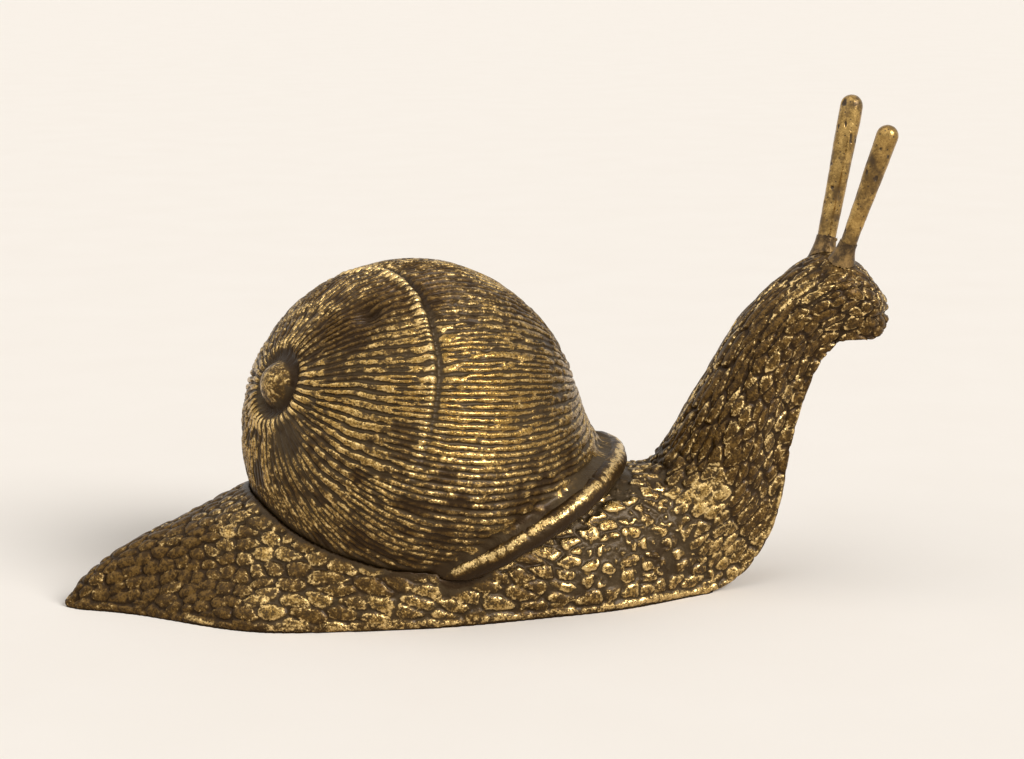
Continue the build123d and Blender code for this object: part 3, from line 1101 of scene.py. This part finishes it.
@dataclass
class BodyCasting:
    """Hollow body with a skin of raised plates and a bead along the sole, in millimetres."""

    ball: Ball
    voxel: float = 0.46
    hidden_share: float = 0.12
    hidden_least: float = 0.99
    bore_radius: float = 3.6
    crease: float = 0.5
    line_step: float = 0.5
    front_from: float = 58.0
    front_to: float = 97.0
    front_top: float = 58.0
    most_triangles: int = 192000
    plate_places: tuple[float, ...] = (0.0, 40.0, 75.0, 110.0, 150.0, 190.0, 230.0, 265.0)
    plate_lengths: tuple[float, ...] = (5.0, 6.0, 9.0, 9.0, 6.0, 6.2, 5.6, 3.6)
    plate_widths: tuple[float, ...] = (2.9, 3.3, 4.0, 3.9, 3.6, 3.4, 3.2, 2.7)
    row_slope: float = 0.28
    streak_length: float = 12.0
    streak_width: float = 2.6
    plate_depth: float = 0.95
    plate_spacing: float = 0.74
    bead_width: float = 1.9
    neck_bead_width: float = 1.0
    blotch: Triple = (56.0, -15.8, 27.5)
    mouth: Triple = (93.4, -11.6, 71.2)
    mouth_height: float = 68.3
    tip_start: float = -100.5
    tip_length: float = 4.5
    spine: Spine = Spine()
    grain: Grain = Grain(5)

    def build(self, frame: dict) -> bpy.types.Object:
        """Make the casting.

        Args:
            frame: The loaded frame.

        Returns:
            The piece.
        """
        node = frame["nodes"]["body_casting"]
        plain = merged_copy(node)
        hollow = self.hollow_tree(plain)
        sole = self.sole_line(plain)
        made = piece("body_skin", mesh_of(plain, "body_skin"), Slot.BODY, "body_casting")
        evened(made, self.voxel)
        self.thin_hidden(made, hollow)
        carving = Carving(made.data)
        points = carving.read()
        bare = 1.0 - self.hidden(points, carving.read("normal"), hollow)
        relief, edge, wear = self.skin(points, self.sole_gap(points, sole), bare)
        seat = self.seat_band(points)
        root = self.feeler_roots(points, frame)
        height = relief + seat * (0.95 - relief)
        height += root * (1.0 - height)
        # Painted shade: the band beside the shell is filled in but its colour kept dark, in the crease under
        # the shell.
        relief = relief * (1.0 - 0.7 * seat)
        relief += root * (0.8 - relief)
        depth = (self.plate_depth * (1.0 - height) + self.face_depth(points)) * bare
        carved = (points - carving.read("normal") * depth[:, None]) * self.tip_scale(points)
        carving.write(np.maximum(carved, ABOVE_GROUND))
        carving.store(relief=relief * bare, edge=edge * bare, wear=wear * bare)
        triangles = sum(len(face.vertices) - 2 for face in made.data.polygons)
        settled(made, "DECIMATE", ratio=min(1.0, self.most_triangles / triangles))
        Carving(made.data).smooth()
        LOG.info("%s: %d faces", made.name, len(made.data.polygons))
        return made

    def tip_scale(self, points: np.ndarray) -> np.ndarray:
        """Scale that rounds off the tip of the tail, for each point and axis."""
        near = np.clip((self.tip_start - points[:, 0]) / self.tip_length, 0.0, 1.0) ** 2
        return np.stack([np.ones(len(points)), 1.0 - 0.45 * near, 1.0 - 0.6 * near], axis=1)

    def hollow_tree(self, plain: bmesh.types.BMesh) -> BVHTree:
        """Tree of the faces inside the hollow.

        Args:
            plain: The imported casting, joined.

        Returns:
            The tree, in metres.
        """
        copy = plain.copy()
        rim = [face for face in copy.faces if face.calc_center_median().z < 1e-5]
        bore = [face for face in copy.faces if self.in_bore(face.calc_center_median())]
        bmesh.ops.delete(copy, geom=list(set(rim + bore)), context="FACES_ONLY")
        copy.faces.ensure_lookup_table()
        nose = max(copy.faces, key=lambda face: face.calc_center_median().x)
        outer = self.joined(nose)
        bmesh.ops.delete(copy, geom=list(outer), context="FACES")
        tree = BVHTree.FromBMesh(copy)
        copy.free()
        return tree

    def in_bore(self, spot: Vector) -> bool:
        """Whether a point lies on the screw's hole."""
        return math.hypot(spot.x / MM - self.ball.centre[0], spot.y / MM) < self.bore_radius

    def joined(self, first: bmesh.types.BMFace) -> set[bmesh.types.BMFace]:
        """All faces that are joined to one face.

        Args:
            first: Face to start from.

        Returns:
            The faces.
        """
        found = {first}
        queue = [first]
        while queue:
            for edge in queue.pop().edges:
                for face in edge.link_faces:
                    if face not in found:
                        found.add(face)
                        queue.append(face)
        return found

    def sole_line(self, plain: bmesh.types.BMesh) -> KDTree:
        """Points along the outer edge of the sole, on the ground and up the front of the neck.

        Args:
            plain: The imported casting, joined.

        Returns:
            Tree of the points, in metres.
        """
        spots: list[Vector] = []
        for edge in plain.edges:
            if len(edge.link_faces) != 2 or edge.calc_face_angle(0.0) < self.crease:
                continue
            middle = 0.5 * (edge.verts[0].co + edge.verts[1].co)
            front = self.front_from * MM < middle.x < self.front_to * MM and middle.z < self.front_top * MM
            if middle.z < 0.2 * MM or front:
                steps = max(1, round(edge.calc_length() / (self.line_step * MM)))
                spots += [edge.verts[0].co.lerp(edge.verts[1].co, k / steps) for k in range(steps + 1)]
        return tree_of(spots)

    def sole_gap(self, points: np.ndarray, sole: KDTree) -> np.ndarray:
        """Distance of points from the sole's edge, in millimetres."""
        return np.array([sole.find(spot)[2] for spot in (points * MM).tolist()]) / MM

    def hidden(self, points: np.ndarray, normals: np.ndarray, hollow: BVHTree) -> np.ndarray:
        """Share from 0 on the skin to 1 inside the hollow or the shell's pocket.

        Args:
            points: Points in millimetres.
            normals: Their normals.
            hollow: Tree of the hollow's faces.

        Returns:
            One share for each point.
        """
        hits = [hollow.find_nearest(spot) for spot in (points * MM).tolist()]
        inside = np.array([hit[3] for hit in hits]) / MM
        same_way = np.sum(np.array([hit[1] for hit in hits]) * normals, axis=1) > 0.0
        inside = np.where(same_way, inside, 99.0)
        pocket = np.minimum(self.ball.to_ball(points), self.ball.to_lip(points, self.ball.lip_bead))
        pocket = np.minimum(pocket, self.ball.to_flare(points))
        covered = np.maximum(1.0 - ramp(inside, 0.4, 1.2), 1.0 - ramp(pocket, 0.35, 0.9))
        return np.maximum(covered, points[:, 2] < 0.15)

    def thin_hidden(self, made: bpy.types.Object, hollow: BVHTree) -> None:
        """Take faces out of what the skin hides.

        Args:
            made: The casting.
            hollow: Tree of the hollow's faces.
        """
        carving = Carving(made.data)
        covered = self.hidden(carving.read(), carving.read("normal"), hollow) > self.hidden_least
        group = made.vertex_groups.new(name="hidden")
        group.add([int(index) for index in np.flatnonzero(covered)], 1.0, "REPLACE")
        share = float(np.mean(covered))
        settled(
            made,
            "DECIMATE",
            ratio=1.0 - share * (1.0 - self.hidden_share),
            vertex_group="hidden",
            vertex_group_factor=1000.0,
        )
        made.vertex_groups.clear()

    def cells(self, points: np.ndarray) -> tuple[np.ndarray, np.ndarray, np.ndarray, np.ndarray]:
        """Lay points out in units of a plate.

        Args:
            points: Points in millimetres.

        Returns:
            Points in units of a plate and of a streak, length along the body, and height off its line.
        """
        length, height = self.spine.along(points)
        warp = np.stack([self.grain.layers(points + shift, 5.0, 2) for shift in (0.0, 40.0, 80.0)], axis=1)
        grid = np.arange(0.0, self.plate_places[-1] + 30.0, 0.5)
        steps = np.cumsum(0.5 / np.interp(grid, self.plate_places, self.plate_lengths))
        width = np.interp(length, self.plate_places, self.plate_widths)
        row = height + self.row_slope * np.clip(length - 40.0, 0.0, 90.0)
        plates = [np.interp(length, grid, steps), points[:, 1] / width, row / width]
        streaks = [length / self.streak_length, points[:, 1] / self.streak_width, height / self.streak_width]
        return np.stack(plates, axis=1) + 0.10 * warp, np.stack(streaks, axis=1) + 0.12 * warp, length, height

    def skin(
        self, points: np.ndarray, gap: np.ndarray, bare: np.ndarray
    ) -> tuple[np.ndarray, np.ndarray, np.ndarray]:
        """Raised plates, islands in front of the shell, streaks on the nape, and the bead along the sole.

        Args:
            points: Points in millimetres.
            gap: Their distance from the sole's edge.
            bare: 1 on the skin, 0 where it is hidden.

        Returns:
            Height from 0 to 1, how near each point is to a plate's rim, and how far it is rubbed, with a
            painted highlight on the head.
        """
        plates, streaks, length, height = self.cells(points)
        open_skin = np.flatnonzero(bare > 0.9)
        border, mark = Plates.scattered(plates, open_skin, self.plate_spacing, 3).border(plates)
        line, line_mark = Plates.scattered(streaks, open_skin, self.plate_spacing, 4).border(streaks)
        neck = ramp(length, 160.0, 185.0)
        nape = ramp(neck * ramp(height + self.grain.waves(points, 6.0), 3.0, 8.0), 0.4, 0.6)
        ragged = 0.06 * self.grain.waves(points, 1.5) + 0.045 * self.grain.waves(points, 0.8)
        border = np.maximum(border - 0.4 * nape, line - 0.4 * (1.0 - nape)) + 0.02 + ragged
        mark = np.where(nape > 0.5, line_mark, mark)
        forward = points[:, 0] + 4.0 * self.grain.waves(points, 6.0)
        front = ramp(forward, 8.0, 24.0) * (1.0 - ramp(forward, 44.0, 54.0))
        front *= 1.0 - ramp(points[:, 2], 30.0, 42.0)
        isle = front * ramp(gap, 3.5, 8.0)
        blob = 0.7 * self.grain.waves(points, 2.8) + 0.45 * self.grain.waves(points, 1.3)
        fused = ramp(self.grain.waves(points, 4.2), 0.3, 0.7) * (1.0 - isle)
        raised = np.maximum(ramp(border, 0.005 + 0.04 * isle, 0.095 + 0.085 * isle), 0.35 * fused)
        raised *= 1.0 - isle * (1.0 - ramp(blob, -0.30, 0.0))
        raised *= 0.68 + 0.32 * ramp(border, 0.02, 0.36)
        raised *= 0.82 + 0.18 * np.modf(mark * 7.31)[0]
        crumbs = ramp(self.grain.waves(points + 60.0, 1.05), 0.25, 0.6)
        raised = np.maximum(raised, 0.55 * isle * crumbs)
        blotch = ramp(dent(points, self.blotch, 6.5) + 0.25 * self.grain.waves(points, 2.5), 0.35, 0.6)
        raised = np.maximum(raised, blotch * (0.55 + 0.25 * self.grain.waves(points, 1.6)))
        rim = bell(border - 0.13 - 0.06 * isle, 0.055) * ramp(raised, 0.3, 0.6)
        rim *= 0.6 + 0.4 * np.maximum(isle, neck)
        tail = 1.0 - ramp(length, 25.0, 70.0)
        wear = 0.70 - 0.52 * tail - 0.38 * neck + 0.14 * isle + 0.25 * self.grain.layers(points, 11.0)
        # Painted highlight: more gold towards the head.
        wear += 0.3 * ramp(length, 238.0, 258.0)
        wear += 0.4 * (np.modf(mark * 3.7)[0] - 0.5) + 0.35 * blotch
        level = np.clip(raised + 0.07 * self.grain.layers(points, 5.0), 0.0, 1.0)
        return self.beaded(points, gap, level, rim, wear)

    def beaded(
        self, points: np.ndarray, gap: np.ndarray, level: np.ndarray, rim: np.ndarray, wear: np.ndarray
    ) -> tuple[np.ndarray, np.ndarray, np.ndarray]:
        """Put the uneven bead along the sole.

        Args:
            points: Points in millimetres.
            gap: Their distance from the sole's edge.
            level: Height so far.
            rim: Nearness to a rim so far.
            wear: How far each point is rubbed so far, with a painted highlight on the head.

        Returns:
            The three numbers with the bead in them.
        """
        ground = 1.0 - ramp(points[:, 2], 5.0, 14.0)
        uneven = self.grain.waves(points, 5.0)
        width = self.neck_bead_width + (self.bead_width - self.neck_bead_width) * ground + 0.55 * uneven
        bead = 1.0 - ramp(gap, width - 0.45, width + 0.45)
        bead *= 0.4 + 0.6 * ramp(self.grain.waves(points, 6.0), -0.4, 0.2)
        trough = bell(gap - width - 0.55, 0.4) * ramp(self.grain.waves(points, 7.0), -0.5, 0.1)
        level = level * (1.0 - 0.6 * trough)
        round_top = 0.45 + 0.55 * ramp(gap, 0.0, 1.0) - 0.10 * (1.0 + self.grain.waves(points, 2.0))
        level = level + bead * (round_top - level)
        rubbed = 0.35 + 0.35 * ramp(points[:, 0], -80.0, 10.0) + 0.5 * self.grain.layers(points, 9.0)
        wear = wear + bead * (rubbed - wear)
        return level, rim + bead * (0.45 - rim), wear

    def seat_band(self, points: np.ndarray) -> np.ndarray:
        """Smooth band beside the shell, 1 at its edge."""
        gap = np.minimum(self.ball.to_ball(points), self.ball.to_lip(points, self.ball.lip_bead))
        return 1.0 - ramp(gap + 0.7 * self.grain.waves(points, 4.0), 0.8, 2.6)

    def feeler_roots(self, points: np.ndarray, frame: dict) -> np.ndarray:
        """Smooth rounds under the fillers of both feelers, 1 in their middle.

        Args:
            points: Points in millimetres.
            frame: The loaded frame.

        Returns:
            One number for each point.
        """
        near = np.zeros(len(points))
        for side in SIDES:
            filler = Carving(frame["nodes"][f"{side}_tentacle_braze"].data).read()
            near = np.maximum(near, dent(points, tuple(filler.mean(axis=0)), 5.5))
        return ramp(near, 0.2, 0.6)

    def face_depth(self, points: np.ndarray) -> np.ndarray:
        """Depth of the mouth, its corners and the line between the lips."""
        mirrored = points * np.array([1.0, -1.0, 1.0])
        corner = np.maximum(dent(points, self.mouth, 2.6), dent(mirrored, self.mouth, 2.6))
        slope = points[:, 2] - self.mouth_height - 0.12 * (points[:, 0] - 98.0)
        line = bell(slope, 0.75) * ramp(points[:, 0], 93.0, 96.0)
        return 1.2 * corner + 0.9 * line * (1.0 - corner)


@dataclass
class Tentacles:
    """Both feelers and the filler round their roots, in millimetres."""

    voxel: float = 0.22
    lump: float = 0.16
    pit: float = 0.28
    grain: Grain = Grain(71)

    def build(self, frame: dict) -> dict[str, bpy.types.Object]:
        """Make the rods and their collars.

        Args:
            frame: The loaded frame.

        Returns:
            Pieces by the name of the node that each stands for.
        """
        made = {}
        for side in SIDES:
            rod = f"{side}_tentacle"
            braze = f"{side}_tentacle_braze"
            made[rod] = self.cast(frame["nodes"][rod], f"{side}_feeler", Slot.FEELER)
            made[braze] = self.cast(frame["nodes"][braze], f"{side}_feeler_filler", Slot.BRAZE)
        return made

    def cast(self, node: bpy.types.Object, name: str, slot: Slot) -> bpy.types.Object:
        """Copy of a node with the lumps and pits of a small casting.

        Args:
            node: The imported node.
            name: Name of the piece.
            slot: Its material slot.

        Returns:
            The piece.
        """
        made = piece(name, mesh_of(merged_copy(node), name), slot, node.name)
        evened(made, self.voxel)
        carving = Carving(made.data)
        points = carving.read()
        lumps = 0.5 + 0.5 * self.grain.layers(points, 4.5)
        hole = ramp(self.grain.waves(points, (1.3, 1.3, 1.9)), 0.55, 0.85)
        depth = self.lump * np.clip(lumps, 0.0, 1.0) + self.pit * hole
        carving.write(points - carving.read("normal") * depth[:, None])
        carving.store(relief=np.clip(1.0 - 0.45 * lumps - 0.8 * hole, 0.0, 1.0))
        carving.smooth()
        return made


@dataclass
class Studio:
    """Pale floor, soft lamps and the camera, in metres."""

    camera_place: Triple = (-0.07985, -0.58599, 0.16933)
    camera_turn: float = -8.5
    camera_rise: float = 11.0
    lens: float = 84.375
    sensor: float = 36.0
    clip_start: float = 0.01
    floor_radius: float = 60.0
    surround: float = 0.31
    backdrop: float = 0.93
    tint: Colour = (1.0, 0.985, 0.955)

    def build(self) -> None:
        """Set up the whole studio."""
        self.floor()
        self.world()
        self.lamp("key", toward=(0.56, -0.60, 0.58), spread=26.0, strength=2.5)
        self.lamp("sky", toward=(-0.48, -0.22, 0.85), spread=70.0, strength=1.0)
        self.camera()
        bpy.context.scene.view_settings.view_transform = "Standard"

    def floor(self) -> None:
        """Round pale floor."""
        shape = bmesh.new()
        bmesh.ops.create_circle(shape, cap_ends=True, segments=96, radius=self.floor_radius)
        ground = bpy.data.objects.new("floor", mesh_of(shape, "floor"))
        ground.data.materials.append(StudioPaper("studio_paper").material())
        bpy.context.scene.collection.objects.link(ground)

    def world(self) -> None:
        """Even surroundings, pale where the camera or the metal sees them."""
        board = SkyBoard("studio")
        path = board.node("ShaderNodeLightPath", {}, {})
        camera, glossy, through = (
            Number(board, path.outputs[f"Is {kind} Ray"]) for kind in ("Camera", "Glossy", "Transmission")
        )
        seen = (camera + glossy + through).step(0.0, 1.0)
        board.set(Color=self.tint, Strength=self.surround + (self.backdrop - self.surround) * seen)
        bpy.context.scene.world = board.world

    def lamp(self, name: str, toward: Triple, spread: float, strength: float) -> None:
        """Add one soft, distant lamp.

        Args:
            name: Name of the lamp.
            toward: Direction of the lamp from the object.
            spread: Angle that it fills, in degrees.
            strength: Strength in watts per square metre.
        """
        data = bpy.data.lights.new(name, "SUN")
        data.angle = math.radians(spread)
        data.energy = strength
        made = bpy.data.objects.new(name, data)
        made.location = toward
        made.rotation_euler = Vector(toward).to_track_quat("Z", "Y").to_euler()
        bpy.context.scene.collection.objects.link(made)

    def camera(self) -> None:
        """Camera at the photograph's place and angle."""
        data = bpy.data.cameras.new("camera")
        data.lens = self.lens
        data.sensor_width = self.sensor
        data.clip_start = self.clip_start
        made = bpy.data.objects.new("camera", data)
        tilt = Matrix.Rotation(math.radians(90.0 - self.camera_rise), 4, "X")
        turn = Matrix.Rotation(math.radians(self.camera_turn), 4, "Z")
        made.matrix_world = Matrix.Translation(self.camera_place) @ turn @ tilt
        bpy.context.scene.collection.objects.link(made)
        bpy.context.scene.camera = made


def dress(made: bpy.types.Object, material: bpy.types.Material) -> None:
    """Give an object one material."""
    made.data.materials.clear()
    made.data.materials.append(material)


def main() -> None:
    """Build, dress and light the ornament."""
    logging.basicConfig(level=logging.INFO, format="%(name)s: %(message)s")
    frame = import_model()
    ball = Ball()
    shell_bronze = PatinatedBronze("shell_bronze").material()
    for made in Shell(ball).build(frame):
        dress(made, shell_bronze)
    dress(BodyCasting(ball).build(frame), PatinatedBronze("body_bronze").material())
    feelers = Tentacles().build(frame)
    rubbed = RubbedBronze("feeler_bronze").material()
    filler = BrazeFiller("braze").material()
    for node, made in feelers.items():
        dress(made, filler if node.endswith("braze") else rubbed)
    steel = DullSteel("screw_steel").material()
    for node in ("shell_screw", "shell_washer"):
        dress(frame["nodes"][node], steel)
        LOG.info("%s: dressed", node)
    Studio().build()


if __name__ == "__main__":
    main()
